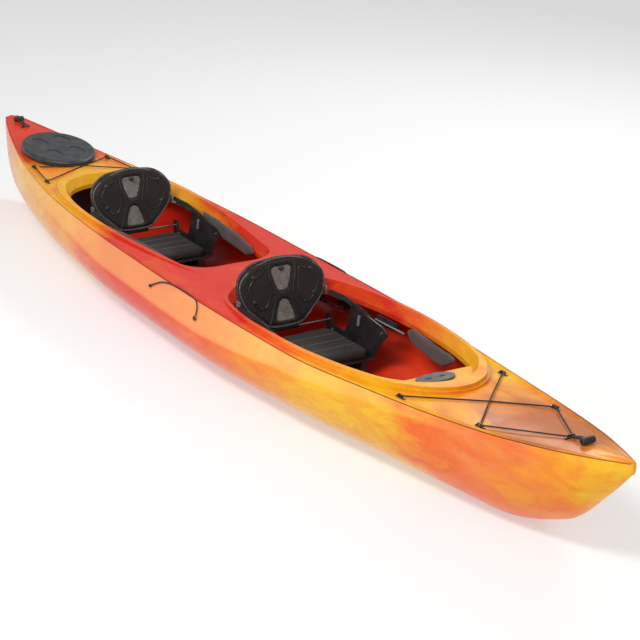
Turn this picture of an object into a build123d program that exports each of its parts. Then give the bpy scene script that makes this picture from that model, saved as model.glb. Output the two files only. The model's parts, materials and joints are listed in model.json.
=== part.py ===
from build123d import *
import math
import os

# Tandem recreational kayak. Millimetres, +X to the bow, +Y to port, +Z up.
# The origin is under the middle of the boat, on the ground that the keel rests on.

# ---- driving dimensions ----
WALL = 5.0  # thickness of the moulded polyethylene
CORD = 5.0  # deck bungee diameter
ROPE = 7.0  # carry handle rope diameter
GAP = 0.4  # clearance between separate pieces

# Table of offsets, one row per station from stern to bow:
# x, keel height, half beam, crease height, seam half width, seam height,
# deck height on the centreline, gutter drop inside the gunwale, bottom fullness
STATIONS = [
    (-2360, 205, 34, 361, 30, 397, 403, 1, 0.60),
    (-2290, 72, 61, 349, 56, 387, 394, 1, 0.62),
    (-2100, 30, 122, 319, 114, 365, 373, 2, 0.65),
    (-1700, 12, 222, 272, 208, 331, 338, 3, 0.66),
    (-1150, 2, 310, 236, 287, 311, 320, 1, 0.68),
    (-450, 0, 364, 200, 322, 299, 303, 0, 0.70),
    (250, 0, 371, 187, 327, 290, 298, 0, 0.71),
    (850, 0, 337, 225, 314, 289, 297, 2, 0.69),
    (1350, 0, 264, 255, 254, 302, 306, 7, 0.66),
    (1800, 2, 187, 285, 182, 325, 328, 8, 0.60),
    (2080, 84, 116, 311, 113, 350, 354, 6, 0.55),
    (2250, 232, 54, 334, 52, 369, 376, 3, 0.52),
    (2355, 344, 8, 364, 7, 382, 390, 1, 0.50),
]
SECTIONS = (
    -2360, -2325, -2290, -2200, -2100, -1900, -1700, -1425, -1150, -800, -450, -100, 250,
    550, 850, 1100, 1350, 1575, 1800, 1940, 2080, 2170, 2250, 2310, 2355,
)  # where the shells' cross-sections stand
END_CAP = 6.0  # the moulding is closed by this much beyond the first and last stations

# Cockpits: each coaming lies on its own slightly tilted plane
REAR_LIP = (-700, 319, -0.030)  # x, height and slope of the rear coaming's lip
FRONT_LIP = (900, 316, 0.0285)
LIP_STEP = 13.0  # depth of the raised lip
LIP_SET_IN = 9.0  # the lip stands in from the foot of the coaming
FUNNEL = 22.0  # the inner wall slopes in by this much
FUNNEL_DEEP = 40.0
COAMING_DEEP = 58.0
REAR_OUTER = [
    (-1464, 78), (-1382, 205), (-1230, 262), (-1000, 288), (-640, 290), (-300, 255), (20, 190), (112, 90),
]
REAR_INNER = [
    (-1406, 60), (-1345, 165), (-1200, 230), (-980, 262), (-640, 262), (-300, 222), (-66, 190),
]
FRONT_OUTER = [
    (134, 140), (246, 248), (400, 286), (560, 306), (880, 304), (1150, 267), (1350, 214), (1478, 122), (1524, 34),
]
FRONT_INNER = [
    (160, 126), (262, 226), (400, 262), (560, 282), (880, 282), (1140, 246), (1320, 196), (1422, 108), (1450, 30),
]

KEEL_FLAT = (800, 110)  # the flat middle of the bottom, which the boat rests on

# Stern hatch, on a plane tilted with the stern deck
HATCH = (-1798, 346, -0.085)
HATCH_HALF = (225, 160)
HATCH_HOLE = (185, 122)
RIM_HIGH = 14.0

# Deck fittings: x and distance from the centreline
BOW_AFT_EYE = (1433, 209)
BOW_FORE_EYE = (1797, 150)
BOW_CENTRE_EYE = 2063
STERN_AFT_EYE = (-1653, 184)
STERN_FORE_EYE = (-1430, 218)
STERN_CENTRE_EYE = -2190

# Seats: the hinge of the backrest, and how far the rear seat is moved from the front one
HINGE = (322, 150)
SEATS = {"front": (0, 0), "rear": (-1305, 30)}
BACK_TILT = 12.4  # degrees that the backrest leans aft
SEAT_HALF = 196.0  # inner half width between the seat's wings
PAN_LOW = 92.0
BACK_OUTLINE = [(72, 12), (118, 44), (188, 116), (190, 214), (126, 268), (30, 279)]

os.makedirs("parts", exist_ok=True)


def save(piece, label):
    piece.label = label
    export_step(piece, f"parts/{label}.step")


def mirrored(points):
    """The points on the port side, then their mirror images in the reverse order."""
    return points + [(x, -y) for x, y in reversed(points)]


def corner_radii(points, share=0.45, closed=True):
    """The largest fillet for each corner that leaves room for its neighbours."""
    corners = [Vector(*p) for p in points]
    count = len(corners)
    radii = []
    for i in range(count if closed else count - 2):
        before, here, after = (corners[(i + k) % count] for k in ((-1, 0, 1) if closed else (0, 1, 2)))
        run_in = here - before
        run_out = after - here
        turn = math.radians(run_in.get_angle(run_out))
        radii.append(share * min(run_in.length, run_out.length) / math.tan(turn / 2))
    return radii


def lip_plane(lip, drop=0.0):
    """The plane of a coaming or of the hatch, lowered by drop."""
    x, height, slope = lip
    plane = Plane((x, 0, height), x_dir=(1, 0, slope), z_dir=(-slope, 0, 1))
    return plane.offset(-drop)


def outline_on(lip, points):
    """The closed outline in the lip plane's own coordinates."""
    return [(x - lip[0], y) for x, y in mirrored(points)]


def coaming_area(lip, points, inset):
    """The area inside a coaming outline, inset from it, in the lip plane's own coordinates."""
    corners = outline_on(lip, points)
    with BuildSketch() as area:
        with BuildLine():
            FilletPolyline(*corners, radius=corner_radii(corners), close=True)
        make_face()
        if inset:
            offset(amount=-inset, mode=Mode.REPLACE)
    return area.sketch


def coaming_face(lip, points, drop, inset=0.0):
    """That area placed drop below the lip."""
    return lip_plane(lip, drop) * coaming_area(lip, points, inset)


def funnel(lip, points, thick):
    """The space inside a cockpit, less thick: it narrows below the lip, then drops straight down."""
    mouth = coaming_face(lip, points, 0.0, -thick)
    throat = coaming_face(lip, points, FUNNEL_DEEP, FUNNEL - thick)
    with BuildPart() as space:
        extrude(mouth, amount=20)
        loft([mouth, throat], ruled=True)
        extrude(throat, amount=-2 * FUNNEL_DEEP)
    return space.part


# ---- hull and deck shells ----
def station_plane(x):
    """A cross-section plane: its x runs to port and its y runs up."""
    return Plane((x, 0, 0), x_dir=(0, 1, 0), z_dir=(1, 0, 0))


def slope_at(rows, i, column):
    """The slope of one column of the table at row i: zero where it turns, so nothing overshoots."""
    if i in (0, len(rows) - 1):
        a, b = (rows[0], rows[1]) if i == 0 else (rows[-2], rows[-1])
        return (b[column] - a[column]) / (b[0] - a[0])
    before = (rows[i][column] - rows[i - 1][column]) / (rows[i][0] - rows[i - 1][0])
    after = (rows[i + 1][column] - rows[i][column]) / (rows[i + 1][0] - rows[i][0])
    if before * after <= 0:
        return 0.0
    return 2 * before * after / (before + after)


def offsets_at(x):
    """The row of the table of offsets at any x, on a smooth curve through the given rows."""
    i = max(k for k in range(len(STATIONS) - 1) if STATIONS[k][0] <= x)
    low, high = STATIONS[i], STATIONS[i + 1]
    run = high[0] - low[0]
    t = (x - low[0]) / run
    row = [x]
    for column in range(1, len(low)):
        row.append(
            low[column] * (1 + 2 * t) * (1 - t) ** 2
            + slope_at(STATIONS, i, column) * run * t * (1 - t) ** 2
            + high[column] * t**2 * (3 - 2 * t)
            - slope_at(STATIONS, i + 1, column) * run * t**2 * (1 - t)
        )
    return tuple(row)


SHELL_ROWS = [offsets_at(x) for x in SECTIONS]
INNER_ROWS = [row for row in SHELL_ROWS if -1950 < row[0] < 2100]


def hull_curve(station, thick):
    """Half of the hull's cross-section, thick inside its outer face: bilge curve, crease, topside."""
    x, keel, beam, crease, seam, seam_z, deck_z, gutter, full = station
    low = keel + thick
    wide = beam - thick
    bilge = crease - full * (crease - low)
    Bezier((0, low), (full * wide, low), (wide, bilge), (wide, crease))
    Line((wide, crease), (seam - thick, seam_z))


def deck_curve(station, thick):
    """Half of the deck's cross-section: gunwale, the gutter inside it and the crown."""
    x, keel, beam, crease, seam, seam_z, deck_z, gutter, full = station
    size = min(1.0, seam / 110)
    edge = seam - thick
    down = thick * size
    gunwale = (edge - 7 * size, seam_z + 4 * size - 0.6 * down)
    dip = (edge - 26 * size, seam_z + (4 - gutter) * size - down)
    Line((edge, seam_z), gunwale)
    Line(gunwale, dip)
    Bezier(dip, (0.75 * dip[0], dip[1]), (0.45 * dip[0], deck_z - down), (0, deck_z - down))


def shell_section(station, curve):
    """The cross-section of a shell, WALL thick and open along the seam."""
    seam, seam_z = station[4:6]
    with BuildSketch(station_plane(station[0])) as sketch:
        with BuildLine():
            curve(station, 0)
            curve(station, WALL)
            Line((seam - WALL, seam_z), (seam, seam_z))
            mirror(about=Plane.YZ)
        make_face()
    return sketch.sketch


def end_section(station, curve):
    """The whole cross-section of a shell's end wall, closed along the seam."""
    seam, seam_z = station[4:6]
    with BuildSketch(station_plane(station[0])) as sketch:
        with BuildLine():
            curve(station, 0)
            Line((seam, seam_z), (0, seam_z))
            mirror(about=Plane.YZ)
        make_face()
    return sketch.sketch


with BuildPart() as hull:
    for row in SHELL_ROWS:
        add(shell_section(row, hull_curve))
    loft(ruled=True)
    extrude(end_section(SHELL_ROWS[0], hull_curve), amount=-END_CAP)
    extrude(end_section(SHELL_ROWS[-1], hull_curve), amount=END_CAP)
    with BuildSketch(Plane.XY):
        Rectangle(*KEEL_FLAT)
    extrude(amount=3)
save(hull.part, "hull")


def coaming_hollow(lip, outer, inner):
    """The hollow between a coaming's outer skin and the wall of its cockpit."""
    with BuildPart() as hollow:
        extrude(coaming_face(lip, outer, LIP_STEP + WALL, WALL + 1), amount=-COAMING_DEEP)
        add(funnel(lip, inner, WALL + 1), mode=Mode.SUBTRACT)
    return hollow.part


with BuildPart() as deck:
    for row in SHELL_ROWS:
        add(shell_section(row, deck_curve))
    loft(ruled=True)
    extrude(end_section(SHELL_ROWS[0], deck_curve), amount=-END_CAP)
    extrude(end_section(SHELL_ROWS[-1], deck_curve), amount=END_CAP)
    for lip, outer, inner in ((REAR_LIP, REAR_OUTER, REAR_INNER), (FRONT_LIP, FRONT_OUTER, FRONT_INNER)):
        extrude(coaming_face(lip, outer, LIP_STEP), amount=-(COAMING_DEEP - LIP_STEP))
        extrude(coaming_face(lip, outer, 0.0, LIP_SET_IN), amount=-LIP_STEP - 1)
        add(coaming_hollow(lip, outer, inner), mode=Mode.SUBTRACT)
        add(funnel(lip, inner, 0.0), mode=Mode.SUBTRACT)
    with BuildSketch(lip_plane(HATCH, 20)):
        Ellipse(HATCH_HOLE[0] + 14, HATCH_HOLE[1] + 14)
    extrude(amount=20 + RIM_HIGH)
    with BuildSketch(lip_plane(HATCH, 60)):
        Ellipse(*HATCH_HOLE)
    extrude(amount=100, mode=Mode.SUBTRACT)
save(deck.part, "deck")


# The free space inside the hull, less a small clearance: pieces that meet the hull are cut to it
def room_section(station, curve, drop):
    """The closed outline inside the hull at one station, closed drop below the seam."""
    seam, seam_z = station[4:6]
    inside = WALL + GAP
    with BuildSketch(station_plane(station[0])) as sketch:
        with BuildLine():
            curve(station, inside)
            Polyline((seam - inside, seam_z), (seam - inside - 1, seam_z - drop), (0, seam_z - drop))
            mirror(about=Plane.YZ)
        make_face()
    return sketch.sketch


with BuildPart() as hull_room:
    for row in INNER_ROWS:
        add(room_section(row, hull_curve, 6))
    loft(ruled=True)


def on_deck(x, y, up=0.0, along=(1, 0, 0)):
    """A plane resting on the deck above (x, y): z along the surface normal, x near the given way."""
    axis = Axis((x, y, 250), (0, 0, 1))
    hits = [hit for face in deck.part.faces_intersected_by_axis(axis) for hit in face.find_intersection_points(axis)]
    point, normal = max(hits, key=lambda hit: hit[0].Z)
    if normal.Z < 0:
        normal = -normal
    way = Vector(*along)
    way = way - normal * way.dot(normal)
    return Plane(point, x_dir=way, z_dir=normal).offset(up)


def tube(points, diameter, most=1000):
    """A cord along straight runs joined by tangent arcs of radius up to most."""
    radii = [min(most, radius) for radius in corner_radii(points, closed=False)]
    with BuildPart() as cord:
        with BuildLine() as path:
            if radii:
                FilletPolyline(*points, radius=radii)
            else:
                Line(*points)
        with BuildSketch(path.line ^ 0):
            Circle(diameter / 2)
        sweep()
    length = path.wire().length
    section = math.pi * diameter**2 / 4
    print(f"cord {diameter} mm: {length:.0f} mm, volume ratio {cord.part.volume / section / length:.4f},",
          "radii", [round(r) for r in radii])
    return cord.part


# ---- hatch: seal and cover ----
with BuildPart() as hatch_seal:
    with BuildSketch(lip_plane(HATCH, -RIM_HIGH - GAP)):
        Ellipse(HATCH_HOLE[0] + 12, HATCH_HOLE[1] + 12)
        Ellipse(HATCH_HOLE[0] + 4, HATCH_HOLE[1] + 4, mode=Mode.SUBTRACT)
    extrude(amount=3)
save(hatch_seal.part, "hatch_seal")

COVER_TOP = RIM_HIGH + 16
with BuildPart() as hatch_cover:
    with BuildSketch(lip_plane(HATCH, -7)):
        Ellipse(*HATCH_HALF)
    extrude(amount=COVER_TOP - 7)
    fillet(hatch_cover.faces().sort_by(Axis((0, 0, 0), (-HATCH[2], 0, 1)))[-1].edges(), radius=13)
    with BuildSketch(lip_plane(HATCH, -7)):
        Ellipse(HATCH_HOLE[0] + 22, HATCH_HOLE[1] + 22)
    extrude(amount=RIM_HIGH - 3.2, mode=Mode.SUBTRACT)
    with BuildSketch(lip_plane(HATCH, -COVER_TOP)):
        with Locations(*[(sx * 86, sy * 56) for sx in (-1, 1) for sy in (-1, 1)]):
            Ellipse(62, 34)
    extrude(amount=-2.5, mode=Mode.SUBTRACT)
save(hatch_cover.part, "hatch_cover")

with BuildPart() as hatch_tether:
    start = on_deck(-1600, 150, 6).origin
    add(tube([tuple(start), tuple(on_deck(-1618, 168, 9).origin), tuple(on_deck(-1634, 181, 7).origin)], 4.0))
save(hatch_tether.part, "hatch_tether")

# ---- pad eyes on the deck, and their screws ----
EYE_LONG, EYE_WIDE, EYE_BASE = 50.0, 10.0, 2.5
EYE_LIFT = 0.8  # the base stands this far off the curved deck, on its gasket
SCREW_SPACE = 40.0
eye_places = {}
for side in (-1, 1):
    eye_places["bow_aft", side] = on_deck(BOW_AFT_EYE[0], side * BOW_AFT_EYE[1], EYE_LIFT)
    eye_places["bow_fore", side] = on_deck(BOW_FORE_EYE[0], side * BOW_FORE_EYE[1], EYE_LIFT)
    eye_places["stern_aft", side] = on_deck(STERN_AFT_EYE[0], side * STERN_AFT_EYE[1], EYE_LIFT)
    eye_places["stern_fore", side] = on_deck(STERN_FORE_EYE[0], side * STERN_FORE_EYE[1], EYE_LIFT)
eye_places["bow_centre", 0] = on_deck(BOW_CENTRE_EYE, 0, EYE_LIFT, along=(0, 1, 0))
eye_places["stern_centre", 0] = on_deck(STERN_CENTRE_EYE, 0, EYE_LIFT, along=(0, 1, 0))


def pad_eye(plane):
    """A saddle: a rounded base plate with an arch that the cord runs through."""
    across = Plane(plane.origin, x_dir=plane.x_dir, z_dir=-plane.y_dir)
    with BuildPart() as eye:
        with BuildSketch(plane):
            SlotOverall(EYE_LONG, EYE_WIDE)
            with GridLocations(SCREW_SPACE, 0, 2, 1):
                Circle(1.8, mode=Mode.SUBTRACT)
        extrude(amount=EYE_BASE)
        with BuildSketch(across):
            RectangleRounded(32, 24, 8)
            RectangleRounded(26, 18, 5, mode=Mode.SUBTRACT)
            with Locations((0, 12)):
                Rectangle(40, 24, mode=Mode.INTERSECT)
        extrude(amount=3, both=True)
    return eye.part


with BuildPart() as deck_pad_eyes:
    for plane in eye_places.values():
        add(pad_eye(plane))
save(deck_pad_eyes.part, "deck_pad_eyes")

with BuildPart() as pad_eye_screws:
    for plane in eye_places.values():
        with BuildSketch(plane.offset(EYE_BASE + 0.2)):
            with GridLocations(SCREW_SPACE, 0, 2, 1):
                Circle(3.2)
        extrude(amount=1.8)
save(pad_eye_screws.part, "pad_eye_screws")


def eye_point(name, side, up=5.7):
    """Where a cord passes through a pad eye."""
    plane = eye_places[name, side]
    return tuple(plane.offset(up).origin)


def between(a, b, share):
    """The point this share of the way from a to b."""
    return tuple(p + (q - p) * share for p, q in zip(a, b))


def over_deck(a, b, share, up):
    """The point this share of the way from a to b in plan, up above the deck."""
    x, y, _ = between(a, b, share)
    return tuple(on_deck(x, y).origin + Vector(0, 0, up))


# ---- bow bungee: one cord, crossed over the deck ----
bow_aft = {side: eye_point("bow_aft", side) for side in (-1, 1)}
bow_fore = {side: eye_point("bow_fore", side) for side in (-1, 1)}
bow_centre = eye_point("bow_centre", 0)
cross_share = BOW_AFT_EYE[1] / (BOW_AFT_EYE[1] + BOW_FORE_EYE[1])
bow_route = [
    bow_aft[-1],
    over_deck(bow_aft[-1], bow_fore[1], cross_share, 4),
    bow_fore[1],
    (bow_centre[0], 8, bow_centre[2]),
    (bow_centre[0], -8, bow_centre[2]),
    bow_fore[-1],
    over_deck(bow_fore[-1], bow_aft[1], 1 - cross_share, 4 + CORD + 1),
    bow_aft[1],
]
bow_bungee = tube(bow_route, CORD, 14)
save(bow_bungee, "bow_bungee")

# ---- stern bungee: a figure of eight between the hatch and the rear cockpit ----
stern_aft = {side: eye_point("stern_aft", side) for side in (-1, 1)}
stern_fore = {side: eye_point("stern_fore", side) for side in (-1, 1)}
stern_route = [
    between(stern_aft[-1], stern_fore[-1], 0.05),
    stern_fore[-1],
    over_deck(stern_fore[-1], stern_aft[1], 0.5, 4),
    stern_aft[1],
    stern_fore[1],
    over_deck(stern_fore[1], stern_aft[-1], 0.5, 4 + CORD + 1),
    between(stern_aft[-1], stern_fore[1], 0.05),
]
stern_bungee = tube(stern_route, CORD, 14)
save(stern_bungee, "stern_bungee")

# ---- paddle holders: a cord along each gunwale that hooks round a paddle ----
def topside(x, down, out):
    """A point on the starboard topside, down a share of the way from seam to crease, out from it."""
    beam, crease, seam, seam_z = offsets_at(x)[2:6]
    return (x, -(seam + (beam - seam) * down + out), seam_z + (crease - seam_z) * down)


holder_route = [
    topside(-120, 0.42, 6),
    topside(-60, 0.12, 6),
    topside(20, -0.02, 6),
    topside(150, -0.05, 5),
    topside(225, -0.02, 6),
    topside(250, 0.2, 6),
    topside(257, 0.47, 6),
]
holder = tube(holder_route, CORD)
with BuildPart() as paddle_bungees:
    add(holder)
    mirror(about=Plane.XZ)
save(paddle_bungees.part, "paddle_bungees")

with BuildPart() as bungee_knots:
    for point in (bow_aft[-1], bow_aft[1]):
        with Locations(between(point, (point[0] - 15, point[1], point[2]), 0.6)):
            Sphere(5.5)
    for side in (-1, 1):
        x, y, z = topside(-126, 0.46, 7.5)
        with Locations((x, -side * y, z)):
            Sphere(6.5)
save(bungee_knots.part, "bungee_knots")

with BuildPart() as paddle_hooks:
    x, y, z = topside(258, 0.55, 7.5)
    with BuildSketch(Plane((x, y, z), x_dir=(1, 0, 0), z_dir=(0, 1, 0))):
        Circle(9)
        Circle(4.5, mode=Mode.SUBTRACT)
        with Locations((7, -6)):
            Rectangle(8, 8, mode=Mode.SUBTRACT)
    extrude(amount=3, both=True)
    mirror(about=Plane.XZ)
save(paddle_hooks.part, "paddle_hooks")

# ---- carry handles ----
for name, way in (("bow", 1), ("stern", -1)):
    origin = eye_point(f"{name}_centre", 0)
    far = on_deck(origin[0] + way * 82, 0, 13.5).origin
    grip_x, grip_z = far.X, far.Z
    with BuildPart() as rope:
        add(tube([(origin[0] + way * 11, -3.8, origin[2] + 2.5), (grip_x - way * 11.6, -9, grip_z)], ROPE))
        add(tube([(origin[0] + way * 11, 3.8, origin[2] + 2.5), (grip_x - way * 11.6, 9, grip_z)], ROPE))
    save(rope.part, f"{name}_handle_rope")
    with BuildPart() as grip:
        with BuildSketch(Plane((grip_x, 0, grip_z), x_dir=(1, 0, 0), z_dir=(0, 1, 0))):
            Circle(12)
            Circle(3.5, mode=Mode.SUBTRACT)
        extrude(amount=24, both=True)
        fillet(grip.edges().filter_by(GeomType.CIRCLE).group_by(SortBy.RADIUS)[-1], radius=3)
    save(grip.part, f"{name}_handle_grip")

# ---- inside the ends: stern bulkhead, bow foam, pillar under the bridge ----
BULKHEAD_X, BULKHEAD_THICK = -1490, 30


def inside_hull(label, x_low, x_high, half):
    """A foam block cut to the inside of the hull."""
    with BuildPart() as block:
        with BuildSketch(station_plane(x_low)):
            with Locations((0, 225)):
                Rectangle(2 * half, 450)
        extrude(amount=x_high - x_low)
        inside = block.part & hull_room.part
    with BuildPart() as fitted:
        add(inside)
    save(fitted.part, label)


inside_hull("stern_bulkhead", BULKHEAD_X - BULKHEAD_THICK, BULKHEAD_X, 400)
inside_hull("bow_foam_block", 1660, 1960, 38)

# ---- seats ----
BACK_THICK = 5.0
PAD_FRONT = 20.0
BUCKLE_AT = 118
PIN = 4.0


def mirrored_y(points):
    """The points on the port half, then their mirror images in the reverse order."""
    return points + [(-a, b) for a, b in reversed(points)]


def rounded_area(corners, most, inset=0.0):
    """The area inside a closed outline, its corners rounded by up to most, inset from it."""
    radii = [min(most, radius) for radius in corner_radii(corners)]
    with BuildSketch() as area:
        with BuildLine():
            FilletPolyline(*corners, radius=radii, close=True)
        make_face()
        if inset:
            offset(amount=-inset, mode=Mode.REPLACE)
    return area.sketch


def fitted_outline(points, inset=0.0):
    """The area inside a symmetrical outline with fully rounded corners, inset from it."""
    return rounded_area(mirrored_y(points), 1000, inset)


def back_plane(dx, dz, out=0.0):
    """The plane of a backrest through its hinge, facing forward and leaning aft."""
    lean = math.radians(BACK_TILT)
    origin = (HINGE[0] + dx, 0, HINGE[1] + dz)
    return Plane(origin, x_dir=(0, 1, 0), z_dir=(math.cos(lean), 0, math.sin(lean))).offset(out)


def side_plates(points, y_inner, thick, dx, dz, rounding=2.0, hole=None):
    """The same plate on both sides of the seat, its outline given as x and z."""
    moved = [(x + dx, z + dz) for x, z in points]
    with BuildPart() as plates:
        with BuildSketch(Plane.XZ.offset(y_inner)):
            add(rounded_area(moved, rounding))
            if hole:
                with Locations((HINGE[0] + dx, HINGE[1] + dz)):
                    Circle(hole, mode=Mode.SUBTRACT)
        extrude(amount=thick)
        mirror(about=Plane.XZ)
    return plates.part


def side_discs(spots, y_inner, thick, radius, dx, dz):
    """Round heads on both sides of the seat at the given x and z."""
    with BuildPart() as discs:
        with BuildSketch(Plane.XZ.offset(y_inner)):
            with Locations(*[(x + dx, z + dz) for x, z in spots]):
                Circle(radius)
        extrude(amount=thick)
        mirror(about=Plane.XZ)
    return discs.part


WING = [
    (306, 92), (655, 92), (668, 140), (742, 218), (700, 238), (560, 254), (486, 262), (470, 196), (440, 136),
    (352, 140), (340, 174), (306, 172),
]
MESH_UPPER = [(56, 250), (40, 186), (22, 143)]
MESH_LOWER = [(20, 121), (43, 62), (47, 26)]
BUTTONS = [(125, 216), (131, 121), (-125, 216), (-131, 121)]
STRAP = [(316, 248), (430, 255), (560, 240), (700, 205), (700, 228), (560, 263), (430, 279), (316, 272)]

for seat, (dx, dz) in SEATS.items():
    with BuildPart() as seat_pan:
        add(side_plates(WING, SEAT_HALF, 7, dx, dz, rounding=10, hole=PIN))
        with BuildSketch(Plane.XY.offset(PAN_LOW + dz)):
            with Locations((482 + dx, 0)):
                Rectangle(346, 2 * SEAT_HALF + 1)
        extrude(amount=6)
    save(seat_pan.part, f"{seat}_seat_pan")

    with BuildPart() as seat_cushion:
        with BuildSketch(Plane.XY.offset(PAN_LOW + dz + 6 + GAP)):
            with Locations((494 + dx, 0)):
                RectangleRounded(306, 2 * SEAT_HALF - 10, 40)
        extrude(amount=30)
        fillet(seat_cushion.faces().sort_by(Axis.Z)[-1].edges(), radius=12)
    save(seat_cushion.part, f"{seat}_seat_cushion")

    with BuildPart() as frame:
        for side in (-1, 1):
            with BuildSketch(Plane.XY):
                with Locations((500 + dx, side * 150)):
                    Rectangle(320, 26)
            extrude(amount=PAN_LOW + dz - GAP)
        for x in (380, 620):
            with BuildSketch(Plane.XY):
                with Locations((x + dx, 0)):
                    Rectangle(24, 290)
            extrude(amount=PAN_LOW + dz - 30)
        fitted = frame.part & hull_room.part
    with BuildPart() as seat_base:
        add(fitted)
    save(seat_base.part, f"{seat}_seat_base")

    with BuildPart() as hinge_rod:
        with BuildSketch(Plane.XZ.offset(-SEAT_HALF - 9)):
            with Locations((HINGE[0] + dx, HINGE[1] + dz)):
                Circle(PIN)
        extrude(amount=2 * SEAT_HALF + 18)
    save(hinge_rod.part, f"{seat}_hinge_rod")

    with BuildPart() as back_shell:
        with BuildSketch(back_plane(dx, dz, -9)):
            add(fitted_outline(BACK_OUTLINE))
        extrude(amount=BACK_THICK)
        with BuildSketch(back_plane(dx, dz, -9)):
            with Locations((0, 12)):
                Rectangle(120, 26)
        extrude(amount=BACK_THICK)
        with BuildSketch(Plane.XZ.offset(-60)):
            with Locations((HINGE[0] + dx, HINGE[1] + dz)):
                Circle(8)
        extrude(amount=120)
        with BuildSketch(Plane.XZ.offset(-61)):
            with Locations((HINGE[0] + dx, HINGE[1] + dz)):
                Circle(PIN + 0.05)
        extrude(amount=122, mode=Mode.SUBTRACT)
    save(back_shell.part, f"{seat}_back_shell")

    with BuildPart() as back_pad:
        with BuildSketch(back_plane(dx, dz, -9 + BACK_THICK + GAP)):
            add(fitted_outline(BACK_OUTLINE, 6))
        extrude(amount=PAD_FRONT + 9 - BACK_THICK - GAP)
        fillet(back_pad.faces().sort_by(Axis(back_plane(dx, dz).origin, back_plane(dx, dz).z_dir))[-1].edges(), 6)
        with BuildSketch(back_plane(dx, dz, PAD_FRONT)):
            add(fitted_outline(MESH_UPPER))
        with BuildSketch(back_plane(dx, dz, PAD_FRONT)):
            add(fitted_outline(MESH_LOWER))
        extrude(amount=-8, mode=Mode.SUBTRACT)
        with BuildSketch(Plane.XZ.offset(-70)):
            with Locations((HINGE[0] + dx, HINGE[1] + dz)):
                Circle(9)
        extrude(amount=140, mode=Mode.SUBTRACT)
    save(back_pad.part, f"{seat}_back_pad")

    with BuildPart() as back_mesh:
        with BuildSketch(back_plane(dx, dz, PAD_FRONT - 8 + GAP)):
            add(fitted_outline(MESH_UPPER, 0.6))
        with BuildSketch(back_plane(dx, dz, PAD_FRONT - 8 + GAP)):
            add(fitted_outline(MESH_LOWER, 0.6))
        extrude(amount=3)
    save(back_mesh.part, f"{seat}_back_mesh")

    with BuildPart() as back_piping:
        with BuildSketch(back_plane(dx, dz, -9 + BACK_THICK + GAP)):
            add(fitted_outline(BACK_OUTLINE, 1))
            add(fitted_outline(BACK_OUTLINE, 5.6), mode=Mode.SUBTRACT)
        extrude(amount=5)
    save(back_piping.part, f"{seat}_back_piping")

    with BuildPart() as back_buttons:
        with BuildSketch(back_plane(dx, dz, PAD_FRONT + GAP)):
            with Locations(*BUTTONS):
                Circle(8)
        extrude(amount=4)
        with BuildSketch(back_plane(dx, dz, PAD_FRONT - 8 + 3 + 2 * GAP)):
            with Locations((0, 236)):
                Circle(9)
        extrude(amount=9)
    save(back_buttons.part, f"{seat}_back_buttons")

    buckle = back_plane(dx, dz)
    with BuildPart() as strap_buckles:
        for side in (-1, 1):
            face = Plane(buckle.from_local_coords((side * 192.5, BUCKLE_AT, 4)), x_dir=(1, 0, 0), z_dir=(0, 1, 0))
            with BuildSketch(face):
                RectangleRounded(26, 34, 4)
                with GridLocations(0, 13, 1, 2):
                    Rectangle(18, 7, mode=Mode.SUBTRACT)
            extrude(amount=2, both=True)
    save(strap_buckles.part, f"{seat}_strap_buckles")

    save(side_plates(STRAP, SEAT_HALF + 7 + GAP, 1.6, dx, dz), f"{seat}_seat_straps")
    clip = [(534, 192), (548, 192), (556, 236), (542, 236)]
    save(side_plates(clip, SEAT_HALF - GAP - 4, 4, dx, dz, rounding=2), f"{seat}_seat_clips")
    save(side_discs([(700, 212), (352, 118)], SEAT_HALF - GAP - 4, 4, 6, dx, dz), f"{seat}_seat_bolts")

# ---- thigh pads, with the rods and brackets that hold them ----
PADS = {
    "front": ((794, 236), -0.086, [(0, 250), (58, 279), (325, 271), (364, 264), (364, 247), (288, 198), (192, 196), (55, 212)]),
    "rear": ((-790, 224), -0.080, [(0, 300), (160, 306), (400, 300), (520, 284), (560, 262), (480, 224), (240, 226), (45, 252)]),
}
PAD_THICK = 8.0
for name, ((x, y), slope, outline) in PADS.items():
    plane = Plane((x, y, 0), x_dir=(1, slope, 0), z_dir=(slope, -1, 0))
    with BuildPart() as thigh_pads:
        with BuildSketch(plane):
            add(rounded_area(outline, 14))
        extrude(amount=-PAD_THICK)
        fillet(thigh_pads.faces().sort_by(Axis(plane.origin, plane.z_dir))[-1].edges(), radius=5)
        mirror(about=Plane.XZ)
    save(thigh_pads.part, f"{name}_thigh_pads")

RODS = {"front": ((604, 232), (793, 238), 231), "rear": ((-1040, 216), (-791, 222), 271)}
with BuildPart() as thigh_pad_rods:
    for (x0, y0), (x1, y1), z in RODS.values():
        run = Vector(x1 - x0, y1 - y0, 0)
        with BuildSketch(Plane((x0, y0, z), x_dir=(0, 0, 1), z_dir=run)):
            Circle(6)
        extrude(amount=run.length)
    mirror(about=Plane.XZ)
save(thigh_pad_rods.part, "thigh_pad_rods")

with BuildPart() as thigh_pad_brackets:
    for (x0, y0), (x1, y1), z in RODS.values():
        run = Vector(x1 - x0, y1 - y0, 0)
        plate = Plane((x0, y0, z), x_dir=run, z_dir=(run.Y, -run.X, 0)).offset(-6 - GAP)
        with BuildSketch(plate):
            with Locations((62, 4)):
                RectangleRounded(136, 34, 8)
        extrude(amount=-5)
    mirror(about=Plane.XZ)
save(thigh_pad_brackets.part, "thigh_pad_brackets")

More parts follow.
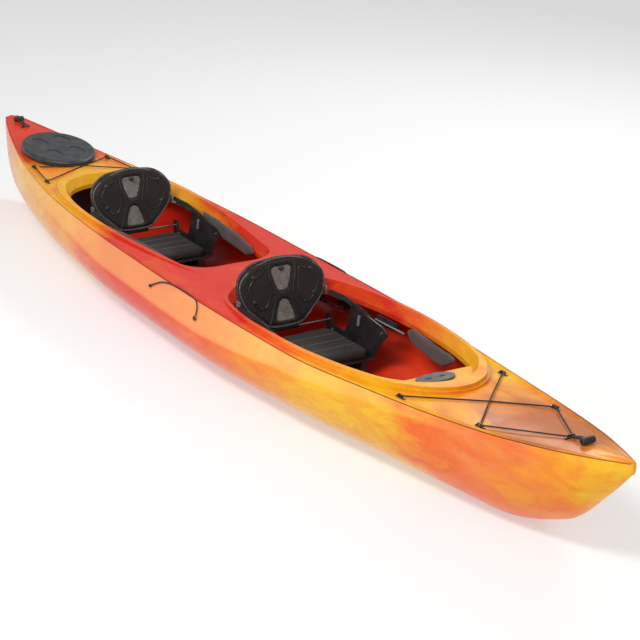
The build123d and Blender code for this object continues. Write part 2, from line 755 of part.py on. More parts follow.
# ---- foot braces: a rail on each side of each cockpit, with a sliding pedal ----
RAIL_LONG, RAIL_HIGH, RAIL_DEEP, RAIL_Z = 400, 22, 14, 150
RAILS = {"front": (1210, 196), "rear": (50, 296)}
for name, (x, y) in RAILS.items():
    with BuildPart() as rails:
        with BuildSketch(station_plane(x - RAIL_LONG / 2)):
            with Locations((y + RAIL_DEEP / 2, RAIL_Z)):
                Rectangle(RAIL_DEEP, RAIL_HIGH)
            with Locations((y + 3, RAIL_Z)):
                Rectangle(8, 10, mode=Mode.SUBTRACT)
        extrude(amount=RAIL_LONG)
        mirror(about=Plane.XZ)
    save(rails.part, f"{name}_foot_rails")
    with BuildPart() as blocks:
        for end in (-1, 1):
            with BuildSketch(station_plane(x + end * (RAIL_LONG / 2 - 40) - 15)):
                with Locations((y + RAIL_DEEP + GAP + 60, RAIL_Z)):
                    Rectangle(120, 30)
            extrude(amount=30)
        fitted = blocks.part & hull_room.part
    with BuildPart() as rail_blocks:
        add(fitted)
        mirror(about=Plane.XZ)
    save(rail_blocks.part, f"{name}_rail_blocks")
    for side_name, side in (("port", 1), ("starboard", -1)):
        with BuildPart() as pedal:
            with BuildSketch(station_plane(x - 4)):
                with Locations((side * (y - 36), RAIL_Z + 12)):
                    RectangleRounded(62, 110, 10)
            extrude(amount=8)
            with BuildSketch(station_plane(x - 30)):
                with Locations((side * (y - 7), RAIL_Z)):
                    Rectangle(12, 26)
                with Locations((side * (y + 1.2), RAIL_Z)):
                    Rectangle(6, 9)
            extrude(amount=60)
        save(pedal.part, f"{name}_{side_name}_foot_pedal")

# ---- console under the nose of the front coaming ----
SHELF_DROP, SHELF_FROM = 44.0, 1284
with BuildPart() as front_console:
    with BuildSketch(lip_plane(FRONT_LIP, SHELF_DROP)):
        add(coaming_area(FRONT_LIP, FRONT_INNER, FUNNEL + GAP))
        with Locations((SHELF_FROM - FRONT_LIP[0] + 150, 0)):
            Rectangle(300, 500, mode=Mode.INTERSECT)
    extrude(amount=5)
save(front_console.part, "front_console")
with BuildPart() as console_pad:
    with BuildSketch(lip_plane(FRONT_LIP, SHELF_DROP - 5 - GAP)):
        with Locations((1332 - FRONT_LIP[0], 0)):
            Ellipse(38, 78)
        with Locations(*[(1332 - FRONT_LIP[0], side * 28) for side in (-1, 1)]):
            Rectangle(7, 26, mode=Mode.SUBTRACT)
    extrude(amount=9)
save(console_pad.part, "console_pad")

# ---- foam pillar under the bridge between the cockpits ----
with BuildPart() as pillar:
    with BuildSketch(Plane.XY):
        with Locations((20, 0)):
            Rectangle(110, 70)
    extrude(amount=REAR_LIP[1] + REAR_LIP[2] * (75 - REAR_LIP[0]) - LIP_STEP - WALL - 6)
    fitted = pillar.part & hull_room.part
with BuildPart() as bridge_pillar:
    add(fitted)
save(bridge_pillar.part, "bridge_pillar")
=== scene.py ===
import json
import math

import bpy
from mathutils import Matrix, Vector


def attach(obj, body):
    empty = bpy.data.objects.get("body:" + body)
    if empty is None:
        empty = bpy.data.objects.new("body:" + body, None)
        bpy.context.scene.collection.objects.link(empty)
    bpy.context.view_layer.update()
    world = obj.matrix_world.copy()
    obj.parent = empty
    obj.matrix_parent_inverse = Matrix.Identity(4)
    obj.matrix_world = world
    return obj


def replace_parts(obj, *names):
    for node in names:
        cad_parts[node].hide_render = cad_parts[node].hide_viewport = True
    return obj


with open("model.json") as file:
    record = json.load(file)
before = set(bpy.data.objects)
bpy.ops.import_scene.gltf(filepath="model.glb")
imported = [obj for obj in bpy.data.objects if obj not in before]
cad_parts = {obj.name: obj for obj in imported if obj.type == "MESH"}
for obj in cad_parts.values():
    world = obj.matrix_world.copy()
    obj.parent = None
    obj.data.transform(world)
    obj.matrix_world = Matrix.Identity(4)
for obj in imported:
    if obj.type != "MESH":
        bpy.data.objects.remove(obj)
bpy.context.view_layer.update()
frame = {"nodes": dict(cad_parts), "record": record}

# ---- the boat's lines, in millimetres, at sections from stern to bow ----
# x, keel z, half beam, crease z, seam half width, seam z, deck z, gutter depth, fullness of the bilge
STATIONS = [
    (-2360, 205, 34, 361, 30, 397, 403, 1, 0.60),
    (-2290, 72, 61, 349, 56, 387, 394, 1, 0.62),
    (-2100, 30, 122, 319, 114, 365, 373, 2, 0.65),
    (-1700, 12, 222, 272, 208, 331, 338, 3, 0.66),
    (-1150, 2, 310, 236, 287, 311, 320, 1, 0.68),
    (-450, 0, 364, 200, 322, 299, 303, 0, 0.70),
    (250, 0, 371, 187, 327, 290, 298, 0, 0.71),
    (850, 0, 337, 225, 314, 289, 297, 2, 0.69),
    (1350, 0, 264, 255, 254, 302, 306, 7, 0.66),
    (1800, 2, 187, 285, 182, 325, 328, 8, 0.60),
    (2080, 84, 116, 311, 113, 350, 354, 6, 0.55),
    (2250, 232, 54, 334, 52, 369, 376, 3, 0.52),
    (2355, 344, 8, 364, 7, 382, 390, 1, 0.50),
]


def slope_at(i, column):
    """The slope of one column at a station, with no overshoot between stations."""
    rows = STATIONS
    if i in (0, len(rows) - 1):
        a, b = (rows[0], rows[1]) if i == 0 else (rows[-2], rows[-1])
        return (b[column] - a[column]) / (b[0] - a[0])
    before = (rows[i][column] - rows[i - 1][column]) / (rows[i][0] - rows[i - 1][0])
    after = (rows[i + 1][column] - rows[i][column]) / (rows[i + 1][0] - rows[i][0])
    if before * after <= 0:
        return 0.0
    return 2 * before * after / (before + after)


def offsets_at(x):
    """A row of the lines at any x, by monotone cubic interpolation."""
    i = max(k for k in range(len(STATIONS) - 1) if STATIONS[k][0] <= x)
    low, high = STATIONS[i], STATIONS[i + 1]
    run = high[0] - low[0]
    t = (x - low[0]) / run
    row = [x]
    for c in range(1, len(low)):
        row.append(low[c] * (1 + 2 * t) * (1 - t) ** 2 + slope_at(i, c) * run * t * (1 - t) ** 2
                   + high[c] * t * t * (3 - 2 * t) - slope_at(i + 1, c) * run * t * t * (1 - t))
    return row


def bezier(points, t):
    """The point at t on the Bezier curve with these control points."""
    pts = [Vector(p) for p in points]
    while len(pts) > 1:
        pts = [a.lerp(b, t) for a, b in zip(pts, pts[1:])]
    return pts[0]


# ---- node materials ----
def clear(name):
    """A new material with its shader and the coordinates of the piece itself."""
    mat = bpy.data.materials.new(name)
    mat.use_nodes = True
    tree = mat.node_tree
    shader = tree.nodes["Principled BSDF"]
    coords = tree.nodes.new("ShaderNodeTexCoord")
    return mat, tree, shader, coords.outputs["Object"]


def noise(tree, coords, scale, detail=4.0, rough=0.55, distort=0.0):
    node = tree.nodes.new("ShaderNodeTexNoise")
    node.inputs["Scale"].default_value = scale
    node.inputs["Detail"].default_value = detail
    node.inputs["Roughness"].default_value = rough
    node.inputs["Distortion"].default_value = distort
    tree.links.new(coords, node.inputs["Vector"])
    return node.outputs["Fac"]


def ramp(tree, value, stops):
    node = tree.nodes.new("ShaderNodeValToRGB")
    band = node.color_ramp
    while len(band.elements) < len(stops):
        band.elements.new(0.5)
    for element, (place, color) in zip(band.elements, stops):
        element.position = place
        element.color = (*color, 1)
    tree.links.new(value, node.inputs["Fac"])
    return node.outputs["Color"]


def maths(tree, kind, a, b=None, c=None):
    node = tree.nodes.new("ShaderNodeMath")
    node.operation = kind
    for socket, value in zip(node.inputs, (a, b, c)):
        if value is None:
            continue
        if isinstance(value, (int, float)):
            socket.default_value = value
        else:
            tree.links.new(value, socket)
    return node.outputs[0]


def mixed(tree, factor, a, b):
    """Colour a turning into colour b."""
    node = tree.nodes.new("ShaderNodeMix")
    node.data_type = "RGBA"
    for socket, value in ((node.inputs[0], factor), (node.inputs[6], a), (node.inputs[7], b)):
        if isinstance(value, (int, float)):
            socket.default_value = value
        elif isinstance(value, tuple):
            socket.default_value = (*value, 1)
        else:
            tree.links.new(value, socket)
    return node.outputs[2]


def bumped(tree, shader, height, strength, distance):
    node = tree.nodes.new("ShaderNodeBump")
    node.inputs["Strength"].default_value = strength
    node.inputs["Distance"].default_value = distance
    tree.links.new(height, node.inputs["Height"])
    tree.links.new(node.outputs[0], shader.inputs["Normal"])


def stretched(tree, coords, scale):
    node = tree.nodes.new("ShaderNodeMapping")
    node.inputs["Scale"].default_value = scale
    tree.links.new(coords, node.inputs["Vector"])
    return node.outputs[0]


# ---- the coloured plastic: bands of colour along the boat, in metres from amidships ----
BAND_SPAN = 4.8
RED = (0.66, 0.003, 0.003)
DEEP = (0.60, 0.003, 0.003)
SCARLET = (0.74, 0.030, 0.006)
ORANGE = (0.84, 0.13, 0.010)
PEACH = (0.84, 0.20, 0.045)
AMBER = (0.86, 0.30, 0.008)
YELLOW = (0.86, 0.47, 0.008)
TAN = (0.48, 0.13, 0.022)


def place(x):
    """Where x falls along a colour ramp that spans the boat."""
    return (x + BAND_SPAN / 2) / BAND_SPAN


def sunlit(tree, color, amount):
    """Painted highlight: the colour turned pale peach where the surface leans upward, standing in for
    the reflection of the lights above.
    """
    facing = tree.nodes.new("ShaderNodeSeparateXYZ")
    tree.links.new(tree.nodes["Texture Coordinate"].outputs["Normal"], facing.inputs[0])
    rise = tree.nodes.new("ShaderNodeMapRange")
    rise.inputs["From Min"].default_value = 0.08
    rise.inputs["From Max"].default_value = 0.34
    tree.links.new(facing.outputs["Z"], rise.inputs["Value"])
    # The painted highlight's colour: a pale peach mixed into the plastic's own colour.
    pale = mixed(tree, 0.55, color, (0.98, 0.62, 0.26))
    return mixed(tree, maths(tree, "MULTIPLY", rise.outputs["Result"], amount), color, pale)


def polyethylene(name, bands, marbling, redder=0.0, top_highlight=0.0):
    """Rotomoulded plastic: coloured powder melted together in clouds and streaks along the boat."""
    mat, tree, shader, coords = clear(name)
    axes = tree.nodes.new("ShaderNodeSeparateXYZ")
    tree.links.new(coords, axes.inputs[0])
    streaks = stretched(tree, coords, (1.0, 2.2, 3.2))
    cloud = noise(tree, streaks, 2.6, 5.0, 0.6, 0.6)
    shift = maths(tree, "MULTIPLY", maths(tree, "SUBTRACT", cloud, 0.5), 0.22)
    along = maths(tree, "MULTIPLY_ADD", axes.outputs["X"], 1 / BAND_SPAN, 0.5)
    base = ramp(tree, maths(tree, "ADD", along, shift), [(place(x), c) for x, c in bands])
    blot = noise(tree, streaks, 5.5, 7.0, 0.62, 1.1)
    patches = ramp(tree, blot, [(0.46, (0, 0, 0)), (0.56, (1, 1, 1))])
    hot = mixed(tree, maths(tree, "MULTIPLY", patches, marbling), base, SCARLET)
    pale = ramp(tree, noise(tree, streaks, 4.1, 6.0, 0.6, 0.8), [(0.52, (0, 0, 0)), (0.66, (1, 1, 1))])
    color = mixed(tree, maths(tree, "MULTIPLY", pale, marbling * 0.7), hot, AMBER)
    if redder:
        color = mixed(tree, redder, color, RED)
    # Painted highlight: paler colour on faces that lean upward, standing in for the reflection of the
    # lights above.
    if top_highlight:
        color = sunlit(tree, color, top_highlight)
    speck = noise(tree, coords, 420.0, 2.0)
    powder = ramp(tree, speck, [(0.3, (0.2, 0.02, 0.0)), (0.7, (1.0, 0.8, 0.3))])
    tree.links.new(mixed(tree, 0.06, color, powder), shader.inputs["Base Color"])
    wear = noise(tree, coords, 14.0, 6.0)
    rough = maths(tree, "MULTIPLY_ADD", wear, 0.12, 0.17)
    tree.links.new(rough, shader.inputs["Roughness"])
    shader.inputs["Specular IOR Level"].default_value = 0.2
    shader.inputs["Coat Weight"].default_value = 0.05
    shader.inputs["Coat Roughness"].default_value = 0.2
    waves = noise(tree, coords, 9.0, 3.0)
    grain = noise(tree, coords, 700.0, 2.0)
    bumped(tree, shader, maths(tree, "MULTIPLY_ADD", grain, 0.05, waves), 0.25, 0.0015)
    return mat


HULL_BANDS = [
    (-2.36, SCARLET), (-2.25, ORANGE), (-2.05, AMBER), (-1.7, YELLOW), (-1.1, AMBER), (-0.8, ORANGE),
    (-0.5, SCARLET), (0.0, SCARLET), (0.4, ORANGE), (0.75, AMBER), (1.05, YELLOW), (1.4, YELLOW),
    (1.65, ORANGE), (1.85, PEACH), (2.1, AMBER), (2.3, YELLOW),
]
DECK_BANDS = [
    (-2.36, SCARLET), (-2.0, RED), (-1.75, ORANGE), (-1.35, YELLOW), (-0.85, AMBER), (-0.55, RED),
    (0.1, RED), (0.55, RED), (0.78, ORANGE), (0.98, AMBER), (1.4, YELLOW), (1.6, AMBER),
    (1.85, TAN), (2.1, TAN), (2.3, AMBER),
]
INSIDE_BANDS = [(-2.3, DEEP), (-1.0, RED), (0.3, RED), (1.0, SCARLET), (1.5, SCARLET)]


TONE_CHANGE = 0.35  # how far a moulded plastic varies to each side of its own colour


def plastic(name, color, rough, grain=260.0, depth=0.0004):
    """Moulded plastic with a pebbled surface, scuffed lighter in places."""
    mat, tree, shader, coords = clear(name)
    dark = tuple(c * (1 - TONE_CHANGE) for c in color)
    lit = tuple(min(1, c * (1 + TONE_CHANGE) + 0.01) for c in color)
    tone = ramp(tree, noise(tree, coords, 22.0, 6.0), [(0.35, dark), (0.7, lit)])
    tree.links.new(tone, shader.inputs["Base Color"])
    scuffs = noise(tree, coords, 60.0, 4.0)
    tree.links.new(maths(tree, "MULTIPLY_ADD", scuffs, 0.2, rough - 0.1), shader.inputs["Roughness"])
    bumped(tree, shader, noise(tree, coords, grain, 3.0), 0.5, depth)
    return mat


def woven(name, color, second, pitch=0.0016, rough=0.85):
    """Cloth: two sets of threads crossing, each with its own tone, and a soft sheen."""
    mat, tree, shader, coords = clear(name)
    heights = []
    for direction, way in (("Z", 1), ("DIAGONAL", -1)):
        wave = tree.nodes.new("ShaderNodeTexWave")
        wave.inputs["Scale"].default_value = 0.32 / pitch / 6.28
        wave.inputs["Distortion"].default_value = 0.4
        wave.bands_direction = direction
        tree.links.new(stretched(tree, coords, (1, way, 1)), wave.inputs["Vector"])
        heights.append(wave.outputs["Fac"])
    weave = maths(tree, "MULTIPLY", heights[0], heights[1])
    cloud = noise(tree, coords, 16.0, 5.0)
    tone = maths(tree, "MULTIPLY_ADD", cloud, 0.6, maths(tree, "MULTIPLY", weave, 0.5))
    tree.links.new(ramp(tree, tone, [(0.25, color), (0.75, second)]), shader.inputs["Base Color"])
    shader.inputs["Roughness"].default_value = rough
    shader.inputs["Sheen Weight"].default_value = 0.04
    bumped(tree, shader, weave, 0.9, 0.0006)
    return mat


THREADS_PER_METRE = 190.0


def netting(name):
    """Open mesh: a grid of pale threads over dark holes."""
    mat, tree, shader, coords = clear(name)
    grid = []
    for axis in ("Y", "Z"):
        axes = tree.nodes.new("ShaderNodeSeparateXYZ")
        tree.links.new(coords, axes.inputs[0])
        cell = maths(tree, "FRACT", maths(tree, "MULTIPLY", axes.outputs[axis], THREADS_PER_METRE))
        from_middle = maths(tree, "ABSOLUTE", maths(tree, "SUBTRACT", cell, 0.5))
        grid.append(maths(tree, "GREATER_THAN", from_middle, 0.27))
    threads = maths(tree, "MAXIMUM", grid[0], grid[1])
    tones = [(0.3, (0.22, 0.19, 0.165)), (0.7, (0.38, 0.34, 0.30))]
    light = ramp(tree, noise(tree, coords, 30.0, 4.0), tones)
    tree.links.new(mixed(tree, threads, (0.02, 0.018, 0.018), light), shader.inputs["Base Color"])
    shader.inputs["Roughness"].default_value = 0.6
    bumped(tree, shader, threads, 0.8, 0.0012)
    return mat


def metal(name, color, rough):
    """Drawn metal, with fine lines along its length."""
    mat, tree, shader, coords = clear(name)
    lines = noise(tree, stretched(tree, coords, (1, 40, 40)), 20.0, 4.0)
    dull = tuple(c * 0.75 for c in color)
    tree.links.new(ramp(tree, lines, [(0.3, dull), (0.7, color)]), shader.inputs["Base Color"])
    shader.inputs["Metallic"].default_value = 1.0
    smears = noise(tree, coords, 90.0, 4.0)
    tree.links.new(maths(tree, "MULTIPLY_ADD", smears, 0.2, rough), shader.inputs["Roughness"])
    bumped(tree, shader, noise(tree, coords, 400.0, 2.0), 0.2, 0.0002)
    return mat


def braid(name, color, second):
    """A braided cord: fine diagonal strands."""
    mat, tree, shader, coords = clear(name)
    voronoi = tree.nodes.new("ShaderNodeTexVoronoi")
    voronoi.inputs["Scale"].default_value = 620.0
    tree.links.new(stretched(tree, coords, (1, 1, 0.6)), voronoi.inputs["Vector"])
    strands = voronoi.outputs["Distance"]
    tree.links.new(ramp(tree, strands, [(0.1, second), (0.6, color)]), shader.inputs["Base Color"])
    shader.inputs["Roughness"].default_value = 0.75
    bumped(tree, shader, strands, -0.7, 0.0006)
    return mat


BLACK = plastic("black_nylon", (0.022, 0.022, 0.024), 0.42)
HARD_BLACK = plastic("seat_shell_plastic", (0.016, 0.014, 0.015), 0.38)
GREY = plastic("grey_rubber_cover", (0.030, 0.034, 0.038), 0.4, 180.0)
MID_GREY = plastic("grey_console", (0.065, 0.055, 0.052), 0.4)
FOAM = plastic("closed_cell_foam", (0.03, 0.03, 0.032), 0.85, 500.0, 0.001)
RUBBER = plastic("seal_rubber", (0.012, 0.012, 0.012), 0.7)
FABRIC = woven("seat_fabric", (0.009, 0.006, 0.005), (0.030, 0.021, 0.017))
PAD_FABRIC = woven("thigh_pad_fabric", (0.070, 0.058, 0.057), (0.135, 0.115, 0.112))
PIPING = woven("piping_welt", (0.05, 0.046, 0.042), (0.17, 0.16, 0.15), 0.0012, 0.45)
RELIEF = plastic("moulded_relief", (0.020, 0.015, 0.012), 0.3)
WEBBING = woven("webbing", (0.008, 0.008, 0.008), (0.05, 0.05, 0.05), 0.002, 0.7)
NET = netting("back_netting")
STEEL = metal("stainless_steel", (0.6, 0.6, 0.6), 0.18)
ALUMINIUM = metal("anodised_aluminium", (0.5, 0.5, 0.52), 0.3)
CORD = braid("bungee_braid", (0.010, 0.010, 0.010), (0.05, 0.05, 0.05))
# The hull carries the painted highlight on its upward-leaning topside.
HULL = polyethylene("hull_polyethylene", HULL_BANDS, 0.24, top_highlight=0.75)
DECK = polyethylene("deck_polyethylene", DECK_BANDS, 0.18)
INSIDE = polyethylene("inside_polyethylene", INSIDE_BANDS, 0.10, 0.2)
CLIP = plastic("clip_plastic", (0.22, 0.22, 0.23), 0.35)

FINISH = {
    "hull": HULL, "deck": DECK, "hatch_cover": GREY, "rubber": RUBBER, "fitting": BLACK,
    "steel": STEEL, "cord": CORD, "foam": FOAM, "console": MID_GREY, "thigh_pad": PAD_FABRIC,
    "bracket": BLACK, "aluminium": ALUMINIUM, "pedal": BLACK, "seat_plastic": HARD_BLACK,
    "seat_fabric": FABRIC, "mesh": NET, "piping": PIPING, "button": BLACK, "webbing": WEBBING,
    "clip": CLIP,
}
for entry in frame["record"]["subparts"]:
    thing = frame["nodes"][entry["node"]]
    thing.data.materials.clear()
    thing.data.materials.append(FINISH[entry["material_slot"]])
    if entry["node"] == "front_console":
        thing.data.materials[0] = DECK


# ---- mesh helpers ----
def add_object(name, data):
    """A new object in the scene."""
    piece = bpy.data.objects.new(name, data)
    bpy.context.scene.collection.objects.link(piece)
    return piece


def new_object(name, verts, faces, material):
    """A smooth mesh as a new object."""
    mesh = bpy.data.meshes.new(name)
    mesh.from_pydata(verts, [], faces)
    mesh.validate()
    mesh.polygons.foreach_set("use_smooth", [True] * len(mesh.polygons))
    mesh.materials.append(material)
    return add_object(name, mesh)


# ---- hull: a fine skin through the lines, with its inside, its seam edge and its ends ----
def hull_half(row, inset):
    """Half a section, from the keel round the bilge to the crease and up the topside to the seam."""
    keel, beam, crease, seam, seam_z = row[1:6]
    full = row[8]
    low = keel + inset
    wide = max(1.0, beam - inset)
    bilge = crease - full * (crease - low)
    controls = [(0, low), (full * wide, low), (wide, bilge), (wide, crease)]
    points = [bezier(controls, i / 26) for i in range(27)]
    top = Vector((max(0.6, seam - inset), seam_z))
    corner = Vector((wide, crease))
    points[-1] = points[-1].lerp(points[-2], 0.35)
    for t in (0.06, 0.3, 0.6, 0.9, 0.955):
        points.append(corner.lerp(top, t))
    if inset == 0:
        points.append(corner.lerp(top, 0.985) + Vector((-1.6, 0)))
    points.append(top + Vector((-1.8 if inset == 0 else 0, 0)))
    return points


STERN, BOW = STATIONS[0][0], STATIONS[-1][0]
TIPS = (-2366.0, 2361.0)  # the rounded ends stand this far out, past the first and last stations


def hull_skin(name, inset, material, flip):
    """The hull's outside, or its inside at an inset, in rings from stern to bow."""
    xs = [TIPS[0], TIPS[0] + 1.5]
    xs += [STERN + (BOW - STERN) * i / 220 for i in range(221)]
    xs += [TIPS[1] - 1.5, TIPS[1]]
    rings = []
    for x in xs:
        row = offsets_at(min(BOW, max(STERN, x)))
        half = hull_half(row, inset)
        if x < STERN - 1 or x > BOW + 1:
            shrink = 0.86 if x in TIPS else 0.96
            mid = row[5]
            half = [Vector((p[0] * shrink, mid + (p[1] - mid) * shrink)) for p in half]
        ring = [(x / 1000, -p[0] / 1000, p[1] / 1000) for p in reversed(half[1:])]
        ring += [(x / 1000, p[0] / 1000, p[1] / 1000) for p in half]
        rings.append(ring)
    count = len(rings[0])
    verts = [v for ring in rings for v in ring]
    faces = []
    for i in range(len(rings) - 1):
        for j in range(count - 1):
            quad = (i * count + j, (i + 1) * count + j, (i + 1) * count + j + 1, i * count + j + 1)
            faces.append(quad[::-1] if flip else quad)
    if not flip:
        faces.append(tuple(range(count)))
        faces.append(tuple(reversed(range((len(rings) - 1) * count, len(rings) * count))))
    return new_object(name, verts, faces, material)


outer = hull_skin("hull_skin", 0.0, HULL, False)
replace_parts(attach(outer, "boat"), "hull")
inner = hull_skin("hull_inside", 5.0, INSIDE, True)
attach(inner, "boat")


# ---- the seam: a dark strip of painted shade for the groove's shadow, with the deck's rolled edge over it ----
def seam_line(name, drop, proud, height, material):
    """A slim band right round the gunwale, drop below the seam and proud of the topside."""
    verts = []
    faces = []
    start, end = STERN + 2, BOW - 3
    xs = [start + (end - start) * i / 300 for i in range(301)]
    loop = [(x, 1) for x in xs] + [(x, -1) for x in reversed(xs)]
    for x, hand in loop:
        row = offsets_at(x)
        half, z = row[4], row[5] - drop
        out = half + (row[2] - half) * drop / max(8.0, row[5] - row[3])
        for depth, rise in ((-2.0, height), (proud, height * 0.7), (proud, height * 0.3), (-2.0, 0)):
            verts.append((x / 1000, hand * (out + depth) / 1000, (z + rise) / 1000))
    for i in range(len(loop)):
        for j in range(3):
            a, b = i * 4 + j, ((i + 1) % len(loop)) * 4 + j
            faces.append((a, b, b + 1, a + 1))
    return new_object(name, verts, faces, material)


# Painted shade: a dark red-brown strip standing in for the shadow in the seam groove, under the deck's
# rolled edge.
SEAM_SHADE = plastic("seam_shadow", (0.12, 0.02, 0.006), 0.6)
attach(seam_line("seam_shade_strip", 4.0, 0.5, 3.2, SEAM_SHADE), "boat")
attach(seam_line("gunwale_edge", 0.6, 2.4, 4.0, DECK), "boat")


def bake(piece):
    """Apply every modifier."""
    graph = bpy.context.evaluated_depsgraph_get()
    mesh = bpy.data.meshes.new_from_object(piece.evaluated_get(graph))
    piece.modifiers.clear()
    piece.data = mesh


def padding(name, node, body, material, voxel, cap):
    """A padded piece: the CAD blank, inflated, with no point moving further than cap metres."""
    mesh = frame["nodes"][node].data.copy()
    mesh.name = name
    piece = add_object(name, mesh)
    remesh = piece.modifiers.new("remesh", "REMESH")
    remesh.mode = "VOXEL"
    remesh.voxel_size = voxel
    bake(piece)
    rest = [v.co.copy() for v in piece.data.vertices]
    cloth = piece.modifiers.new("cloth", "CLOTH")
    cloth.settings.use_pressure = True
    cloth.settings.uniform_pressure_force = 4.0
    cloth.settings.effector_weights.gravity = 0
    cloth.settings.quality = 5
    cloth.settings.tension_stiffness = 12
    cloth.settings.bending_stiffness = 0.6
    for step in range(1, 19):
        bpy.context.scene.frame_set(step)
    bake(piece)
    for v, home in zip(piece.data.vertices, rest):
        move = v.co - home
        if move.length > cap:
            v.co = home + move.normalized() * cap
    bpy.context.scene.frame_set(1)
    smooth = piece.modifiers.new("smooth", "SMOOTH")
    smooth.iterations = 3
    smooth.factor = 0.5
    divide = piece.modifiers.new("divide", "SUBSURF")
    divide.levels = 1
    divide.render_levels = 1
    bake(piece)
    piece.data.materials.clear()
    piece.data.materials.append(material)
    piece.data.polygons.foreach_set("use_smooth", [True] * len(piece.data.polygons))
    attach(piece, body)
    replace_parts(piece, node)
    return piece


def copied(piece, name, node, body, offset):
    """The same padded piece on the other seat."""
    mesh = piece.data.copy()
    mesh.name = name
    mesh.transform(Matrix.Translation(offset))
    twin = add_object(name, mesh)
    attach(twin, body)
    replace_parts(twin, node)


REAR_SHIFT = Vector((-1.305, 0, 0.030))  # from the front seat to the rear one, in metres
cushion = padding("front_cushion_cover", "front_seat_cushion", "boat", FABRIC, 0.006, 0.006)
copied(cushion, "rear_cushion_cover", "rear_seat_cushion", "boat", REAR_SHIFT)
back = padding("front_back_padding", "front_back_pad", "front_backrest", FABRIC, 0.004, 0.0028)
copied(back, "rear_back_padding", "rear_back_pad", "rear_backrest", REAR_SHIFT)
padding("front_thigh_padding", "front_thigh_pads", "boat", PAD_FABRIC, 0.005, 0.004)
padding("rear_thigh_padding", "rear_thigh_pads", "boat", PAD_FABRIC, 0.005, 0.004)


# ---- welts and stitched channels on the seats ----
LEAN = math.radians(12.4)
FOOT = (322, 150)  # x and z of the foot of the front backrest's face
PAD_FACE = 22.2  # how far the padded face stands out, where the studs and the wing welts sit


def back_point(shift, y, v, t):
    """A point on a backrest: y to port, v up its face, t out of its face, in millimetres."""
    x = FOOT[0] - v * math.sin(LEAN) + t * math.cos(LEAN)
    z = FOOT[1] + v * math.cos(LEAN) + t * math.sin(LEAN)
    return (x / 1000 + shift[0], y / 1000 + shift[1], z / 1000 + shift[2])


def welt(name, points, radius, material, body, closed=False):
    """A round welt along a smooth line."""
    data = bpy.data.curves.new(name, "CURVE")
    data.dimensions = "3D"
    data.bevel_depth = radius
    data.bevel_resolution = 3
    data.use_fill_caps = True
    spline = data.splines.new("NURBS")
    spline.points.add(len(points) - 1)
    for point, co in zip(spline.points, points):
        point.co = (*co, 1)
    spline.order_u = 3
    spline.use_endpoint_u = not closed
    spline.use_cyclic_u = closed
    spline.resolution_u = 8
    data.materials.append(material)
    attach(add_object(name, data), body)


def stud(name, shift, y, v, radius, material, body):
    """A domed snap with a stepped rim, turned about the normal of the backrest."""
    profile = [
        (0, 6.4), (0.35, 6.2), (0.62, 5.2), (0.74, 4.0),
        (0.8, 4.2), (0.95, 3.4), (1.0, 2.2), (1.0, -3.0),
    ]
    verts = []
    faces = []
    turns = 28
    for share, rise in profile:
        for k in range(turns):
            angle = 2 * math.pi * k / turns
            verts.append(back_point(shift, y + radius * share * math.cos(angle),
                                    v + radius * share * math.sin(angle), PAD_FACE + rise))
    for i in range(len(profile) - 1):
        for k in range(turns):
            a, b = i * turns + k, i * turns + (k + 1) % turns
            faces.append((a, a + turns, b + turns, b))
    piece = new_object(name, verts, faces, material)
    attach(piece, body)
    return piece


# Places on a backrest: y to port and v up its face, in millimetres. The lines are for the port half
STUDS = [(125, 216), (131, 121), (-125, 216), (-131, 121)]
PANEL = [
    (57, 252), (59, 225), (54, 195), (41, 150),
    (39, 128), (42, 108), (56, 64), (74, 26),
]
RIM = [
    (0, 276), (64, 270), (120, 250), (164, 222), (186, 192),
    (184, 146), (164, 100), (124, 62), (88, 26), (56, 10),
]
WING = [
    (74, 236), (112, 218), (146, 190), (152, 150), (132, 112),
    (96, 84), (72, 104), (62, 140), (72, 196),
]
CHANNELS = (0.432, 0.498, 0.564)  # x of the front cushion's channels, in metres
CUSHION_TOP = 0.1345
for seat, shift in (("front", Vector((0, 0, 0))), ("rear", REAR_SHIFT)):
    body = f"{seat}_backrest"
    for hand, label in ((1, "port"), (-1, "starboard")):
        panel = [back_point(shift, hand * y, v, 21.8) for y, v in PANEL]
        welt(f"{seat}_{label}_panel_welt", panel, 0.0036, RELIEF, body)
        wing = [back_point(shift, hand * y, v, PAD_FACE) for y, v in WING]
        welt(f"{seat}_{label}_wing_welt", wing, 0.0028, RELIEF, body, True)
    for k, (y, v) in enumerate(STUDS):
        snap = stud(f"{seat}_stud_{k}", shift, y, v, 9.5, BLACK, body)
        if k == 0:
            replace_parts(snap, f"{seat}_back_buttons")
    stud(f"{seat}_top_stud", shift, 0, 236, 11.0, BLACK, body)
    ring = RIM + [(-y, v) for y, v in reversed(RIM[1:])]
    rim = [back_point(shift, y, v, 15) for y, v in ring]
    welt(f"{seat}_rim_welt", rim, 0.0038, PIPING, body, True)
    for k, depth in enumerate(CHANNELS):
        across = (-170, -90, 0, 90, 170)
        line = [(depth + shift.x, y / 1000, CUSHION_TOP + shift.z) for y in across]
        welt(f"{seat}_cushion_channel_{k}", line, 0.0016, PIPING, "boat")


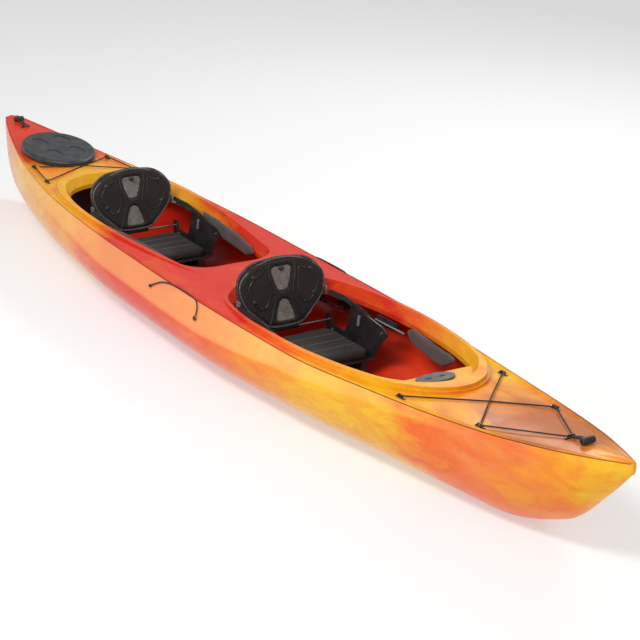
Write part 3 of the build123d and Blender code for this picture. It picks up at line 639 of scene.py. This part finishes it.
# ---- floor, light and camera ----
FAR = 30  # half the floor's side, in metres
floor_mesh = bpy.data.meshes.new("floor")
corners = [(-FAR, -FAR, 0), (FAR, -FAR, 0), (FAR, FAR, 0), (-FAR, FAR, 0)]
floor_mesh.from_pydata(corners, [], [(0, 1, 2, 3)])
floor = add_object("floor", floor_mesh)
floor_mat = bpy.data.materials.new("floor")
floor_mat.use_nodes = True
paper = floor_mat.node_tree.nodes["Principled BSDF"].inputs
paper["Base Color"].default_value = (0.5, 0.5, 0.5, 1)
paper["Roughness"].default_value = 0.9
paper["Emission Color"].default_value = (1, 1, 1, 1)
paper["Emission Strength"].default_value = 0.44
floor_mesh.materials.append(floor_mat)

world = bpy.data.worlds.new("studio")
bpy.context.scene.world = world
world.use_nodes = True
sky = world.node_tree.nodes["Background"].inputs
sky["Color"].default_value = (1, 1, 1, 1)
sky["Strength"].default_value = 0.42


def area_light(name, spot, target, size, power):
    """A soft rectangular light at a spot, aimed at a target."""
    data = bpy.data.lights.new(name, "AREA")
    data.shape = "RECTANGLE"
    data.size, data.size_y = size
    data.energy = power
    lamp = add_object(name, data)
    lamp.location = spot
    lamp.rotation_euler = (Vector(target) - Vector(spot)).to_track_quat("-Z", "Y").to_euler()


area_light("key", (1.0, -3.2, 4.6), (0, 0, 0.2), (4.6, 1.2), 215)
area_light("fill", (5.5, -2.0, 2.6), (0.6, 0, 0.2), (3.0, 2.0), 45)
area_light("back", (-1.5, 4.2, 3.6), (0, 0, 0.3), (5.0, 1.2), 120)

bpy.context.scene.view_settings.view_transform = "Standard"
camera_data = bpy.data.cameras.new("camera")
camera = add_object("camera", camera_data)
spot = Vector((6.1777, -3.4358, 2.6773))
aim = Vector((0.5797, 0, 0.2641))
forward = (aim - spot).normalized()
right = forward.cross(Vector((0, 0, 1))).normalized()
up = right.cross(forward)
roll = math.radians(0.69)
side = right * math.cos(roll) + up * math.sin(roll)
top = up * math.cos(roll) - right * math.sin(roll)
camera.matrix_world = Matrix((
    (side.x, top.x, -forward.x, spot.x),
    (side.y, top.y, -forward.y, spot.y),
    (side.z, top.z, -forward.z, spot.z),
    (0, 0, 0, 1),
))
camera_data.lens = 105.75
camera_data.sensor_width = 36.0
camera_data.clip_end = 100
bpy.context.scene.camera = camera
